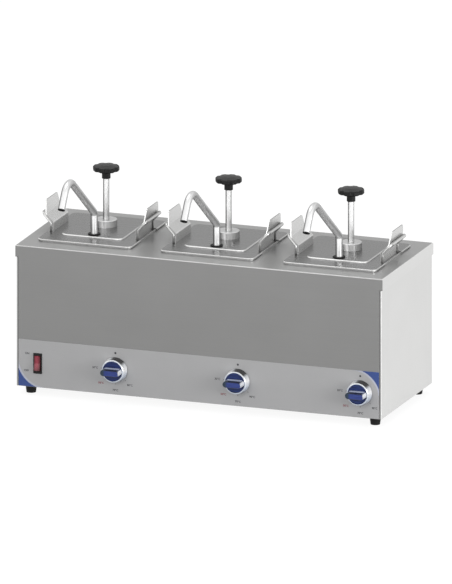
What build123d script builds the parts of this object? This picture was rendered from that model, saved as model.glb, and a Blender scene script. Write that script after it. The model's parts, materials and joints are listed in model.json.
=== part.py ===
from build123d import *
import os
from math import atan, cos, degrees, radians, sin, sqrt, tan

# Three-well topping warmer: a stainless case with three heated wells, each holding a pan,
# a lid with folded handles and a push-down pump with a bent spout.
# Millimetres. +Z up, +X to the right seen from the front, -Y towards the user.
# The model is built about the middle of the case and moved at the end, so that the origin
# is the middle of the whole footprint, spouts and gland included, on the standing surface.

# ---------------------------------------------------------------- driving dimensions

# Case
DECK_W = 650.0            # deck, over its end skirts
DECK_D = 250.0
CASE_H = 242.0            # case without its feet
SHEET = 1.0               # case sheet
BEND_R = 0.6              # inner radius of the deck's bends
SKIRT_H = 20.0            # deck's end skirts and rear flange
SKIRT_GAP = 1.0           # from a skirt to the side panel inside it
RETURN_W = 3.0            # side panel's front return
REAR_RETURN_W = 14.0      # side panel's rear return
SEAM = 0.6                # gap between neighbouring sheets
SIDE_BEND_R = 0.5         # inner radius of the side panel's bends
TRAY_T = 1.2              # floor tray sheet
TRAY_LIP = 15.0           # floor tray's upturned edge

# Feet
FOOT_H = 14.7
FOOT_TOP_R = 9.5
FOOT_BASE_R = 8.0
FOOT_RIM_H = 3.5          # straight rim above the foot's taper
FOOT_INSET_X = 18.5       # foot axis from the side of the case
FOOT_INSET_Y = 21.5       # foot axis from the front and the back of the case
FOOT_RECESS_R = 4.5
FOOT_RECESS_H = 7.0

# Wells, one third of the deck each
WELL_COUNT = 3
WELL_LEDGE = 7.0          # deck under the pan's rim, all round the opening
WELL_CORNER_R = 22.0
TANK_SHEET = 0.8
TANK_FLANGE_W = 8.0
TANK_DEPTH = 165.0

# Heating element under each tank
HEATER_W = 8.0
HEATER_H = 6.5
HEATER_PITCH = 26.0
HEATER_LEGS = 4
HEATER_LEG_L = 104.0
HEATER_TAIL_L = 12.0
HEATER_PIN_R = 1.5

# Pan, GN 1/6
PAN_W = 162.0             # over the rim
PAN_D = 176.0
PAN_H = 150.0
PAN_SHEET = 0.8
PAN_RIM_H = 3.0
PAN_RIM_R = 9.0
PAN_CLEAR = 2.0           # pan body to well opening, all round
PAN_TAPER = 5.0           # inward lean of each wall from top to bottom
PAN_CORNER_R = 20.0
PAN_FLOOR_EDGE = 8.0      # bevel between the walls and the floor

# Lid
LID_OVERHANG = 2.0        # lid past the pan's rim, all round
LID_SHEET = 1.2
LID_CORNER_R = 10.0
LID_SKIRT_H = 2.5
LID_SKIRT_T = 1.0
LID_EDGE = 0.8            # bevel of the plate's top edge
LID_NOTCH_L = 79.0        # cut-away beside each handle
STEP_W = 109.0            # raised middle of the lid
STEP_D = 108.0
STEP_H = 2.0
STEP_CORNER_R = 12.0
STEP_EDGE = 1.5

# Folded handles of the lid and, nested outside them, of the pan
HANDLE_SHEET = 1.5
HANDLE_INSET = 10.5       # inner face of the lid's handle from the lid's edge
HANDLE_GAP = 0.5          # between the two nested handles
HANDLE_RISE = 15.5        # upright part above the lid
HANDLE_LIP = 13.5         # slanting part, outwards
LIP_ANGLE = 45.0          # its lean from the vertical
HANDLE_BEND_R = 4.0
LID_HANDLE_L = 73.0
TAB_H = 21.8              # tab above the 45 degree part
TAB_LEAN = 2.4            # tab's top outwards of its foot
TAB_TOP_L = 54.0
TAB_BASE_L = 69.0
TAB_CORNER_R = 5.0
PAN_HANDLE_L = 62.0
HEM_R = 3.0               # rolled hem of the pan's handle
HEM_BORE_R = 1.5

# Pump
PUMP_Y = 21.2             # pump axis behind the middle of the lid
PUMP_TUBE_R = 14.0
PUMP_BORE_R = 12.5
PUMP_FLANGE_R = 17.0
PUMP_FLANGE_T = 2.0
PUMP_CAP_T = 4.0          # closed top of the cylinder, under the lid
PUMP_TUBE_L = 125.0       # from the underside of the lid to the valve body
NECK_R = 10.0
NECK_RISE = 8.0           # neck above the lid
COLLAR_R = 18.4
COLLAR_H = 12.0
COLLAR_EDGE = 1.0
VALVE_H = 22.0
VALVE_EDGE = 2.0
VALVE_BOSS_R = 8.0
VALVE_BOSS_L = 5.0
VALVE_INLET_R = 6.0
PORT_H = 11.0             # discharge port above the valve body's foot
ROD_R = 5.3
ROD_GRIP_L = 12.0         # rod held in the knob
ROD_STUB_R = 3.0
ROD_STUB_L = 8.0
PISTON_L = 14.0
PISTON_DROP = 3.0         # piston below the cylinder's closed top at rest
PISTON_GROOVE = 0.8       # depth of its seal grooves
PISTON_GROOVE_COUNT = 2
STROKE = 45.0
SLIDE_CLEAR = 0.1         # rod in collar, piston in cylinder
FIT_CLEAR = 0.05          # assembled joints and turning fits

# Pump spring
SPRING_WIRE = 2.0
SPRING_R = 10.0
SPRING_TURNS = 6
SPRING_STATIONS = 12      # sections in one turn of the coil

# Plunger knob
KNOB_RISE = 82.0          # underside of the hub above the lid's step
HUB_R = 7.3
HUB_H = 9.0               # hub below the star
STAR_R = 22.3
STAR_H = 12.0             # star at its rim, underside's cone included
STAR_RIM_H = 8.0          # straight part of the rim and its bevel
STAR_CROWN = 1.6          # middle of the star above its rim
STAR_LOBES = 8
STAR_SCALLOP_R = 5.0
STAR_SCALLOP_DEPTH = 2.2
STAR_EDGE = 1.6           # bevel of the star's rim

# Spout
SPOUT_AHEAD = 59.0        # riser in front of the pump axis
SPOUT_R = 6.1
SPOUT_BORE_R = 4.8
SPOUT_RISE = 37.4         # upright part above the lid's step
SPOUT_SLOPE = 35.5        # climb of the slanting part, degrees
SPOUT_FALL = 33.5         # down leg from the vertical, degrees
SPOUT_REACH = 161.2       # nozzle in front of the riser
SPOUT_TIP_Z = 83.3        # nozzle above the lid's step
SPOUT_ELBOW_R = 9.0
SPOUT_TOP_R = 27.0
GROMMET_R = 10.5
GROMMET_H = 1.8
NOZZLE_LIP_T = 1.2        # nozzle insert's lip on the end of the tube
NOZZLE_INSERT_L = 5.0     # insert inside the tube
NOZZLE_BORE_R = 3.7

# Control panel
OVERLAY_H = 80.5
OVERLAY_T = 0.5
OVERLAY_EDGE = 0.5        # overlay inside the front panel's edges
DIAL_AXIS_H = 43.7        # dials above the foot of the case
DIAL_OFFSET_X = 69.0      # dial axis to the right of its well
DIAL_HOLE_R = 5.0
DIAL_LIFT = 1.0           # skirt in front of the overlay
DIAL_BASE_R = 21.2
DIAL_RIM_R = 19.3
DIAL_H = 15.2
DIAL_FACE_R = 17.3
DIAL_FACE_Z = 11.5        # seat of the blue face
DIAL_FACE_T = 2.5
DIAL_SEAT_W = 1.5
DIAL_WALL = 1.6
DIAL_EDGE = 1.0
GRIP_W = 11.5
GRIP_TOP_W = 10.5
GRIP_INSET = 0.4          # ends of the grip's foot inside the face's edge
GRIP_DRAFT = 0.5          # inward lean of each end
GRIP_H = 31.0             # grip's front above the overlay
GRIP_EDGE = 1.0
STEM_R = 4.0
STEM_L = 8.0              # stem inside the thermostat

# Thermostat
STAT_EDGE = 2.0
STAT_W = 38.0
STAT_H = 34.0
STAT_D = 24.0
STAT_PLATE_H = 46.0
STAT_PLATE_T = 1.5
STAT_SCREW_SPACING = 28.0
BLADE_W = 6.3
BLADE_T = 0.8
BLADE_L = 9.0

# Rocker switch
SWITCH_INSET_X = 38.0     # switch from the side of the case
SWITCH_AXIS_H = 41.5      # switch above the foot of the case
BEZEL_W = 15.0
BEZEL_H = 35.0
BEZEL_T = 2.0
BEZEL_R = 1.2
SWITCH_CUT_W = 12.8
SWITCH_CUT_H = 31.0
SWITCH_BODY_D = 18.0
SWITCH_CUT_CLEAR = 0.1
ROCKER_W = 10.6
ROCKER_R = 13.2           # rocker's swinging end, from its pivot
ROCKER_CLEAR = 0.3
ROCKER_FACE = 5.5         # rocker's face in front of its pivot
ROCKER_BACK = 3.0
ROCKER_TILT = 8.0         # half of its travel, degrees
ROCKER_PIVOT_Y = 2.0      # pivot behind the bezel's face
ROCKER_PIN_R = 1.2
ROCKER_PIN_L = 0.7

# Back
LOUVRE_W = 70.0
LOUVRE_H = 5.0
LOUVRE_PITCH = 12.0
LOUVRE_ROWS = 4
LOUVRE_TOP = 60.0         # first row below the deck
GLAND_INSET_X = 42.0
GLAND_Z = 35.0            # above the foot of the case
GLAND_THREAD_R = 8.0
GLAND_BORE_R = 4.0
GLAND_HEX = 22.0          # across flats
GLAND_HEX_T = 5.0
GLAND_DOME_L = 12.0
GLAND_NUT_T = 4.0
GLAND_TAIL_L = 8.0

# Terminal block
BLOCK_W = 52.0
BLOCK_D = 20.0
BLOCK_H = 14.0
BLOCK_POLES = 5
BLOCK_PITCH = 9.6
BLOCK_WELL_R = 2.4
BLOCK_WELL_H = 6.0

# Floor vents
VENT_L = 80.0
VENT_W = 5.0
VENT_PITCH = 14.0
VENT_ROWS = 3

# Screws
SCREW_R = 2.0
SCREW_HEAD_R = 3.6
SCREW_HEAD_T = 2.4
SCREW_GRIP = 6.0          # shank past the clamped sheets
SCREW_EDGE = 7.0          # back-panel screws from the panel's side edges

# ---------------------------------------------------------------- places worked out from them

CASE_W = DECK_W - 2 * (SHEET + SKIRT_GAP)
FRONT_Y = -DECK_D / 2
BACK_Y = DECK_D / 2
FOOT_Z = FOOT_H
DECK_Z = FOOT_H + CASE_H
FRONT_W = CASE_W - 2 * (RETURN_W + SEAM)
REAR_PANEL_Y = BACK_Y                   # outer face of the back panel
TRAY_BACK_Y = REAR_PANEL_Y - 2 * SHEET  # outer face of the tray's rear edge
TRAY_W = CASE_W - 2 * SHEET
TRAY_TOP_Z = FOOT_Z + TRAY_T

WELL_PITCH = DECK_W / WELL_COUNT
WELL_X = [(i - (WELL_COUNT - 1) / 2) * WELL_PITCH for i in range(WELL_COUNT)]

WELL_OPEN_W = PAN_W - 2 * WELL_LEDGE     # opening in the deck, along X
WELL_OPEN_D = PAN_D - 2 * WELL_LEDGE     # along Y

PAN_RIM_Z = DECK_Z + PAN_RIM_H
LID_TOP_Z = PAN_RIM_Z + LID_SHEET
STEP_Z = LID_TOP_Z + STEP_H
STEP_UNDER_Z = STEP_Z - LID_SHEET
LID_W = PAN_W + 2 * LID_OVERHANG
LID_D = PAN_D + 2 * LID_OVERHANG

TANK_FLOOR_Z = DECK_Z - SHEET - TANK_DEPTH
PAN_FLOOR_Z = PAN_RIM_Z - PAN_H

RISER_Y = PUMP_Y - SPOUT_AHEAD
CYLINDER_TOP_Z = STEP_UNDER_Z - PUMP_CAP_T
VALVE_TOP_Z = STEP_UNDER_Z - PUMP_TUBE_L
VALVE_FOOT_Z = VALVE_TOP_Z - VALVE_H
PORT_Z = VALVE_FOOT_Z + PORT_H
PISTON_TOP_Z = CYLINDER_TOP_Z - PISTON_DROP
PISTON_FOOT_Z = PISTON_TOP_Z - PISTON_L
HUB_Z = STEP_Z + KNOB_RISE
ROD_TOP_Z = HUB_Z + ROD_GRIP_L

OVERLAY_Y = FRONT_Y - OVERLAY_T          # front face of the overlay
DIAL_AXIS_Z = FOOT_Z + DIAL_AXIS_H
SWITCH_AXIS_Z = FOOT_Z + SWITCH_AXIS_H
DIAL_X = [x + DIAL_OFFSET_X for x in WELL_X]
SWITCH_X = -CASE_W / 2 + SWITCH_INSET_X
STAT_PLATE_Y = FRONT_Y + SHEET           # front face of the thermostat's plate
PIVOT_Y = OVERLAY_Y - BEZEL_T + ROCKER_PIVOT_Y

FOOT_PLACES = [
    (sx * (CASE_W / 2 - FOOT_INSET_X), sy * (DECK_D / 2 - FOOT_INSET_Y))
    for sx in (-1, 1)
    for sy in (-1, 1)
]
BACK_SCREW_X = CASE_W / 2 - SHEET - SCREW_EDGE
BACK_SCREW_Z = [
    FOOT_Z + TRAY_LIP + SCREW_EDGE * 2,
    (FOOT_Z + DECK_Z) / 2,
    DECK_Z - SKIRT_H - SCREW_EDGE * 2,
]

TO_FRONT = Rotation(90, 0, 0)            # turns local +Z towards the user
TO_BACK = Rotation(-90, 0, 0)            # turns local +Z away from the user
TOOL = 50.0                              # reach of cutting shapes past what they cut


# ---------------------------------------------------------------- helpers

def block(x0, x1, y0, y1, z0, z1):
    """Box from its lowest to its highest corner."""
    size = Box(x1 - x0, y1 - y0, z1 - z0)
    return Pos((x0 + x1) / 2, (y0 + y1) / 2, (z0 + z1) / 2) * size


def slab(width, depth, radius, z0, z1):
    """Plate with rounded corners, centred on the Z axis."""
    return extrude(Pos(0, 0, z0) * RectangleRounded(width, depth, radius), amount=z1 - z0)


def rod(radius, z0, z1):
    """Cylinder on the Z axis."""
    return Pos(0, 0, (z0 + z1) / 2) * Cylinder(radius, z1 - z0)


def turned(points):
    """Solid of revolution about Z from (radius, height) points."""
    return revolve(Plane.XZ * make_face(Polyline(*points, close=True)), Axis.Z)


def top_edges(solid):
    """Edges in the solid's highest level."""
    return solid.edges().group_by(Axis.Z)[-1]


def mirrored(solid):
    """The solid and its mirror image in the YZ plane."""
    return [solid, mirror(solid, about=Plane.YZ)]


# ---------------------------------------------------------------- case

def well_openings():
    hole = slab(WELL_OPEN_W, WELL_OPEN_D, WELL_CORNER_R, DECK_Z - SHEET - TOOL, DECK_Z + TOOL)
    return [Pos(x, 0, 0) * hole for x in WELL_X]


def dial_holes():
    hole = TO_FRONT * rod(DIAL_HOLE_R, -TOOL, TOOL)
    screw = TO_FRONT * rod(SCREW_R + FIT_CLEAR, -TOOL, TOOL)
    half = STAT_SCREW_SPACING / 2
    holes = []
    for x in DIAL_X:
        at = Pos(x, FRONT_Y, DIAL_AXIS_Z)
        holes += [at * hole, at * Pos(0, 0, half) * screw, at * Pos(0, 0, -half) * screw]
    return holes


def switch_hole():
    half_w = SWITCH_CUT_W / 2 + SWITCH_CUT_CLEAR
    half_h = SWITCH_CUT_H / 2 + SWITCH_CUT_CLEAR
    hole = block(-half_w, half_w, -TOOL, TOOL, -half_h, half_h)
    return Pos(SWITCH_X, FRONT_Y, SWITCH_AXIS_Z) * hole


def deck_shell():
    """Open-bottomed box of sheet that the deck, skirts and front are cut from."""
    outer = block(-DECK_W / 2, DECK_W / 2, FRONT_Y, BACK_Y, FOOT_Z, DECK_Z)
    outer = fillet(top_edges(outer), BEND_R + SHEET)
    inner = block(
        -DECK_W / 2 + SHEET, DECK_W / 2 - SHEET,
        FRONT_Y + SHEET, BACK_Y - SHEET,
        FOOT_Z, DECK_Z - SHEET,
    )
    inner = fillet(top_edges(inner), BEND_R)
    return outer - inner


def make_top_front_panel():
    sheet = deck_shell()
    skirt_z = DECK_Z - SKIRT_H
    low = FOOT_Z - TOOL
    sheet -= block(-DECK_W, DECK_W, FRONT_Y + SHEET, BACK_Y + TOOL, low, skirt_z)
    sheet -= mirrored(block(FRONT_W / 2, DECK_W, FRONT_Y - TOOL, 0, low, skirt_z))
    return sheet - well_openings() - dial_holes() - switch_hole()


def make_side_panel():
    """Right-hand side sheet with a narrow front return and a rear return."""
    outer_x = CASE_W / 2
    back_y = REAR_PANEL_Y - SHEET
    top_z = DECK_Z - SHEET
    outline = block(0, outer_x, FRONT_Y, back_y, FOOT_Z, top_z)
    outline = fillet(outline.edges().filter_by(Axis.Z).group_by(Axis.X)[-1], SIDE_BEND_R + SHEET)
    hollow = block(0, outer_x - SHEET, FRONT_Y + SHEET, back_y - SHEET, FOOT_Z, top_z)
    hollow = fillet(hollow.edges().filter_by(Axis.Z).group_by(Axis.X)[-1], SIDE_BEND_R)
    sheet = outline - hollow
    sheet -= block(0, outer_x - RETURN_W, FRONT_Y, 0, FOOT_Z, top_z)
    sheet -= block(0, outer_x - REAR_RETURN_W, 0, BACK_Y, FOOT_Z, top_z)
    clear = SHEET + BEND_R + SEAM
    sheet -= block(0, DECK_W, FRONT_Y, FRONT_Y + clear, DECK_Z - SKIRT_H - SEAM, DECK_Z)
    sheet -= block(0, DECK_W, BACK_Y - clear, BACK_Y, DECK_Z - clear, DECK_Z)
    hole = TO_BACK * rod(SCREW_R + FIT_CLEAR, -TOOL, TOOL)
    return sheet - [Pos(BACK_SCREW_X, BACK_Y, z) * hole for z in BACK_SCREW_Z]


def louvres():
    """Vent slots of the back panel, three columns of rounded slots."""
    slot = extrude(SlotOverall(LOUVRE_W, LOUVRE_H), amount=TOOL, both=True)
    slot = TO_BACK * slot
    rows = range(LOUVRE_ROWS)
    return [
        Pos(x, BACK_Y, DECK_Z - LOUVRE_TOP - row * LOUVRE_PITCH) * slot
        for x in WELL_X
        for row in rows
    ]


def make_rear_panel():
    half_w = CASE_W / 2 - SEAM
    top_z = DECK_Z - SKIRT_H - SEAM
    panel = block(-half_w, half_w, REAR_PANEL_Y - SHEET, REAR_PANEL_Y, FOOT_Z, top_z)
    panel -= louvres()
    panel -= gland_place() * TO_BACK * rod(GLAND_THREAD_R + FIT_CLEAR, -TOOL, TOOL)
    hole = TO_BACK * rod(SCREW_R + FIT_CLEAR, -TOOL, TOOL)
    places = [(sx * BACK_SCREW_X, z) for sx in (-1, 1) for z in BACK_SCREW_Z]
    return panel - [Pos(x, BACK_Y, z) * hole for x, z in places]


def make_base_plate():
    """Floor tray with upturned edges, vent slots and holes for the foot screws."""
    depth = TRAY_BACK_Y - (FRONT_Y + SHEET)
    mid_y = (TRAY_BACK_Y + FRONT_Y + SHEET) / 2
    corner = SIDE_BEND_R + FIT_CLEAR
    outer = slab(TRAY_W, depth, corner + TRAY_T, FOOT_Z, FOOT_Z + TRAY_LIP)
    inner = slab(TRAY_W - 2 * TRAY_T, depth - 2 * TRAY_T, corner, TRAY_TOP_Z, FOOT_Z + TOOL)
    tray = Pos(0, mid_y, 0) * (outer - inner)
    slot = extrude(SlotOverall(VENT_L, VENT_W), amount=TOOL, both=True)
    rows = [(i - (VENT_ROWS - 1) / 2) * VENT_PITCH for i in range(VENT_ROWS)]
    tray -= [Pos(x, y, FOOT_Z) * slot for x in WELL_X for y in rows]
    hole = rod(SCREW_R + FIT_CLEAR, -TOOL, TOOL)
    return tray - [Pos(x, y, 0) * hole for x, y in FOOT_PLACES]


def make_feet():
    seat_z = FOOT_RECESS_H
    foot = turned([
        (SCREW_R + FIT_CLEAR, FOOT_H), (FOOT_TOP_R, FOOT_H), (FOOT_TOP_R, FOOT_H - FOOT_RIM_H),
        (FOOT_BASE_R, 0), (FOOT_RECESS_R, 0), (FOOT_RECESS_R, seat_z),
        (SCREW_R + FIT_CLEAR, seat_z),
    ])
    return [Pos(x, y, 0) * foot for x, y in FOOT_PLACES]


def screw(shank_l):
    """Pan-head screw along Z: head above its seat at the origin, shank below."""
    bevel = SCREW_HEAD_T / 3
    return turned([
        (0, -shank_l), (SCREW_R, -shank_l), (SCREW_R, 0), (SCREW_HEAD_R, 0),
        (SCREW_HEAD_R, SCREW_HEAD_T - bevel), (SCREW_HEAD_R - bevel, SCREW_HEAD_T),
        (0, SCREW_HEAD_T),
    ])


def make_screws():
    """Foot screws, back-panel screws and the thermostats' screws."""
    foot = Rotation(180, 0, 0) * screw(FOOT_H - FOOT_RECESS_H + TRAY_T + SCREW_GRIP)
    screws = [Pos(x, y, FOOT_RECESS_H) * foot for x, y in FOOT_PLACES]
    back = TO_BACK * screw(2 * SHEET + SCREW_GRIP)
    places = [(sx * BACK_SCREW_X, z) for sx in (-1, 1) for z in BACK_SCREW_Z]
    screws += [Pos(x, REAR_PANEL_Y, z) * back for x, z in places]
    front = TO_FRONT * screw(OVERLAY_T + SHEET + STAT_PLATE_T)
    half = STAT_SCREW_SPACING / 2
    for x in DIAL_X:
        for dz in (-half, half):
            screws.append(Pos(x, OVERLAY_Y, DIAL_AXIS_Z + dz) * front)
    return screws


def make_control_overlay():
    half_w = FRONT_W / 2 - OVERLAY_EDGE
    low_z = FOOT_Z + OVERLAY_EDGE
    film = block(-half_w, half_w, OVERLAY_Y, FRONT_Y, low_z, low_z + OVERLAY_H)
    film = fillet(film.edges().filter_by(Axis.Y), 2 * OVERLAY_EDGE)
    return film - dial_holes() - switch_hole()


# ---------------------------------------------------------------- electrics

def make_switch_bezel():
    """Switch housing: flange on the overlay, body through the panel, pocket for the rocker."""
    flange = block(-BEZEL_W / 2, BEZEL_W / 2, 0, BEZEL_T, -BEZEL_H / 2, BEZEL_H / 2)
    flange = fillet(flange.edges().filter_by(Axis.Y), BEZEL_R)
    flange = fillet(flange.edges().group_by(Axis.Y)[0], BEZEL_R / 2)
    body = block(
        -SWITCH_CUT_W / 2, SWITCH_CUT_W / 2, BEZEL_T, SWITCH_BODY_D,
        -SWITCH_CUT_H / 2, SWITCH_CUT_H / 2,
    )
    half_w = ROCKER_W / 2 + ROCKER_CLEAR
    half_h = ROCKER_R + ROCKER_CLEAR
    pocket = block(-half_w, half_w, -TOOL, SWITCH_BODY_D / 2 + BEZEL_T, -half_h, half_h)
    pins = Pos(0, ROCKER_PIVOT_Y, 0) * Rotation(0, 90, 0) * Cylinder(
        ROCKER_PIN_R + FIT_CLEAR, ROCKER_W + 2 * (ROCKER_CLEAR + ROCKER_PIN_L)
    )
    blade = block(
        -BLADE_T / 2, BLADE_T / 2, SWITCH_BODY_D, SWITCH_BODY_D + BLADE_L,
        -BLADE_W / 2, BLADE_W / 2,
    )
    blades = [Pos(0, 0, dz) * blade for dz in (-SWITCH_CUT_H / 3, 0, SWITCH_CUT_H / 3)]
    housing = flange + body - pocket - pins + blades
    return Pos(SWITCH_X, OVERLAY_Y - BEZEL_T, SWITCH_AXIS_Z) * housing


def make_switch_rocker():
    """Rocker with its upper half pressed in, swinging on two pins."""
    # Outline in (y, z) about the pivot: a shallow V in front, round ends, flat back.
    dip = ROCKER_R * tan(radians(ROCKER_TILT))
    end_z = sqrt(ROCKER_R ** 2 - ROCKER_FACE ** 2)
    back_z = sqrt(ROCKER_R ** 2 - ROCKER_BACK ** 2)
    face = Polyline((-ROCKER_FACE, end_z), (-ROCKER_FACE + dip, 0), (-ROCKER_FACE, -end_z))
    lower = ThreePointArc((-ROCKER_FACE, -end_z), (0, -ROCKER_R), (ROCKER_BACK, -back_z))
    back = Line((ROCKER_BACK, -back_z), (ROCKER_BACK, back_z))
    upper = ThreePointArc((ROCKER_BACK, back_z), (0, ROCKER_R), (-ROCKER_FACE, end_z))
    outline = make_face(face + lower + back + upper)
    rocker = extrude(Plane.YZ * outline, amount=ROCKER_W / 2, both=True)
    rocker += Rotation(0, 90, 0) * Cylinder(ROCKER_PIN_R, ROCKER_W + 2 * ROCKER_PIN_L)
    rocker = Rotation(-ROCKER_TILT, 0, 0) * rocker
    return Pos(SWITCH_X, PIVOT_Y, SWITCH_AXIS_Z) * rocker


def gland_place():
    return Pos(-CASE_W / 2 + GLAND_INSET_X, REAR_PANEL_Y, FOOT_Z + GLAND_Z)


def make_cable_gland():
    """Gland with a hexagonal body, a domed nut, a lock nut inside and a bore for a cord."""
    hexagon = extrude(RegularPolygon(GLAND_HEX / 2, 6, major_radius=False), amount=GLAND_HEX_T)
    dome = Pos(0, 0, GLAND_HEX_T) * Cylinder(
        GLAND_HEX / 2 - SHEET, GLAND_DOME_L, align=(Align.CENTER, Align.CENTER, Align.MIN)
    )
    dome = chamfer(top_edges(dome), GLAND_HEX / 5)
    thread = rod(GLAND_THREAD_R, -SHEET - GLAND_TAIL_L, 0)
    nut = extrude(RegularPolygon(GLAND_HEX / 2, 6, major_radius=False), amount=-GLAND_NUT_T)
    gland = hexagon + dome + thread + Pos(0, 0, -SHEET) * nut
    gland -= rod(GLAND_BORE_R, -TOOL, TOOL)
    return gland_place() * TO_BACK * gland


def make_terminal_block():
    body = block(-BLOCK_W / 2, BLOCK_W / 2, -BLOCK_D / 2, BLOCK_D / 2, 0, BLOCK_H)
    crest = block(-BLOCK_W / 2, BLOCK_W / 2, -BLOCK_D / 6, BLOCK_D / 6, 0, BLOCK_H + BLOCK_WELL_H / 2)
    body += crest
    for i in range(BLOCK_POLES):
        x = (i - (BLOCK_POLES - 1) / 2) * BLOCK_PITCH
        body -= Pos(x, 0, 0) * rod(BLOCK_WELL_R, BLOCK_H + BLOCK_WELL_H / 2 - BLOCK_WELL_H, TOOL)
    x = -CASE_W / 2 + GLAND_INSET_X + BLOCK_W
    return Pos(x, BACK_Y / 2, TRAY_TOP_Z) * body


def make_thermostat():
    """Capillary thermostat: mounting plate, housing with a bore for the dial's stem, blades."""
    plate = block(-STAT_W / 2, STAT_W / 2, 0, STAT_PLATE_T, -STAT_PLATE_H / 2, STAT_PLATE_H / 2)
    body = block(-STAT_W / 2, STAT_W / 2, STAT_PLATE_T, STAT_D, -STAT_H / 2, STAT_H / 2)
    body = fillet(body.edges().filter_by(Axis.Y), STAT_EDGE)
    stat = plate + body
    stat -= TO_FRONT * rod(STEM_R + FIT_CLEAR, -STEM_L - SLIDE_CLEAR, TOOL)
    half = STAT_SCREW_SPACING / 2
    for dz in (-half, half):
        stat -= Pos(0, 0, dz) * TO_FRONT * rod(SCREW_R + FIT_CLEAR, -STAT_PLATE_T - SLIDE_CLEAR, TOOL)
    blade = block(-BLADE_T / 2, BLADE_T / 2, STAT_D, STAT_D + BLADE_L, -BLADE_W / 2, BLADE_W / 2)
    return stat + [Pos(dx, 0, 0) * blade for dx in (-STAT_W / 4, STAT_W / 4)]


def make_dial_ring():
    """Chrome skirt: hollow cone with a bevelled rim and a seat for the blue face."""
    return TO_FRONT * turned([
        (DIAL_BASE_R, DIAL_LIFT),
        (DIAL_BASE_R, DIAL_LIFT + DIAL_EDGE),
        (DIAL_RIM_R, DIAL_H - DIAL_EDGE),
        (DIAL_RIM_R - DIAL_EDGE, DIAL_H),
        (DIAL_FACE_R, DIAL_H),
        (DIAL_FACE_R, DIAL_FACE_Z),
        (DIAL_FACE_R - DIAL_SEAT_W, DIAL_FACE_Z),
        (DIAL_FACE_R - DIAL_SEAT_W, DIAL_FACE_Z - DIAL_WALL),
        (DIAL_BASE_R - 2 * DIAL_WALL, DIAL_FACE_Z - DIAL_WALL),
        (DIAL_BASE_R - DIAL_WALL, DIAL_LIFT),
    ])


def make_dial_grip():
    """Blue face with a bar grip across it and a stem into the thermostat."""
    face_top = DIAL_FACE_Z + DIAL_FACE_T
    face = rod(DIAL_FACE_R - FIT_CLEAR, DIAL_FACE_Z, face_top)
    foot_l = 2 * (DIAL_FACE_R - GRIP_INSET)
    low = Pos(0, 0, face_top - SHEET) * SlotOverall(foot_l, GRIP_W)
    high = Pos(0, 0, GRIP_H) * SlotOverall(foot_l - 2 * GRIP_DRAFT, GRIP_TOP_W)
    bar = loft([low, high], ruled=True)
    bar = chamfer(top_edges(bar), GRIP_EDGE)
    stem_foot = -(OVERLAY_T + SHEET + STEM_L)
    stem = rod(STEM_R, stem_foot, DIAL_FACE_Z)
    return TO_FRONT * (face + bar + stem)


# ---------------------------------------------------------------- wells

def make_well_tank():
    """Deep-drawn tank whose flange lies under the deck."""
    top_z = DECK_Z - SHEET
    wall = TANK_SHEET
    outer_w = WELL_OPEN_W + 2 * wall
    outer_d = WELL_OPEN_D + 2 * wall
    body = slab(outer_w, outer_d, WELL_CORNER_R + wall, TANK_FLOOR_Z, top_z)
    body = chamfer(body.edges().group_by(Axis.Z)[0], PAN_FLOOR_EDGE + wall)
    hollow = slab(WELL_OPEN_W, WELL_OPEN_D, WELL_CORNER_R, TANK_FLOOR_Z + wall, top_z)
    hollow = chamfer(hollow.edges().group_by(Axis.Z)[0], PAN_FLOOR_EDGE)
    flange = slab(
        WELL_OPEN_W + 2 * TANK_FLANGE_W, WELL_OPEN_D + 2 * TANK_FLANGE_W,
        WELL_CORNER_R + TANK_FLANGE_W, top_z - wall, top_z,
    )
    return flange + body - hollow


def make_heater():
    """Flattened tubular element in a serpentine against the tank's floor, with end pins."""
    top_z = TANK_FLOOR_Z
    mid_z = top_z - HEATER_H / 2
    points = []
    for leg in range(HEATER_LEGS):
        x = (leg - (HEATER_LEGS - 1) / 2) * HEATER_PITCH
        ends = [(x, -HEATER_LEG_L / 2, mid_z), (x, HEATER_LEG_L / 2, mid_z)]
        points += ends if leg % 2 == 0 else ends[::-1]
    path = FilletPolyline(*points, radius=HEATER_PITCH / 2 - SHEET)
    section = Plane(origin=path @ 0, x_dir=(1, 0, 0), z_dir=path % 0)
    flattened = Rectangle(HEATER_W, HEATER_H)
    flattened = chamfer(flattened.vertices(), HEATER_H / 4)
    tube = sweep(section * flattened, path=path)
    for x in (points[0][0], points[-1][0]):
        pin = TO_FRONT * rod(HEATER_PIN_R, 0, HEATER_TAIL_L)
        tube += Pos(x, -HEATER_LEG_L / 2, mid_z) * pin
    return tube


# ---------------------------------------------------------------- pan and lid

def pan_body(shrink, floor_z):
    """Tapered tub, smaller by shrink on each side, from the rim to floor_z."""
    top_w = WELL_OPEN_W - 2 * (PAN_CLEAR + shrink)
    top_d = WELL_OPEN_D - 2 * (PAN_CLEAR + shrink)
    mouth = Pos(0, 0, PAN_RIM_Z) * RectangleRounded(top_w, top_d, PAN_CORNER_R - shrink)
    body = extrude(mouth, amount=floor_z - PAN_RIM_Z, taper=degrees(atan(PAN_TAPER / PAN_H)))
    return chamfer(body.edges().group_by(Axis.Z)[0], PAN_FLOOR_EDGE - shrink)


def handle_line(offset):
    """Corners, in (x, z), of a handle's middle surface, moved outwards by offset."""
    x = LID_W / 2 - HANDLE_INSET + HANDLE_SHEET / 2 + offset
    bend_z = LID_TOP_Z + HANDLE_RISE - offset * tan(radians(LIP_ANGLE / 2))
    return x, bend_z


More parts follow.
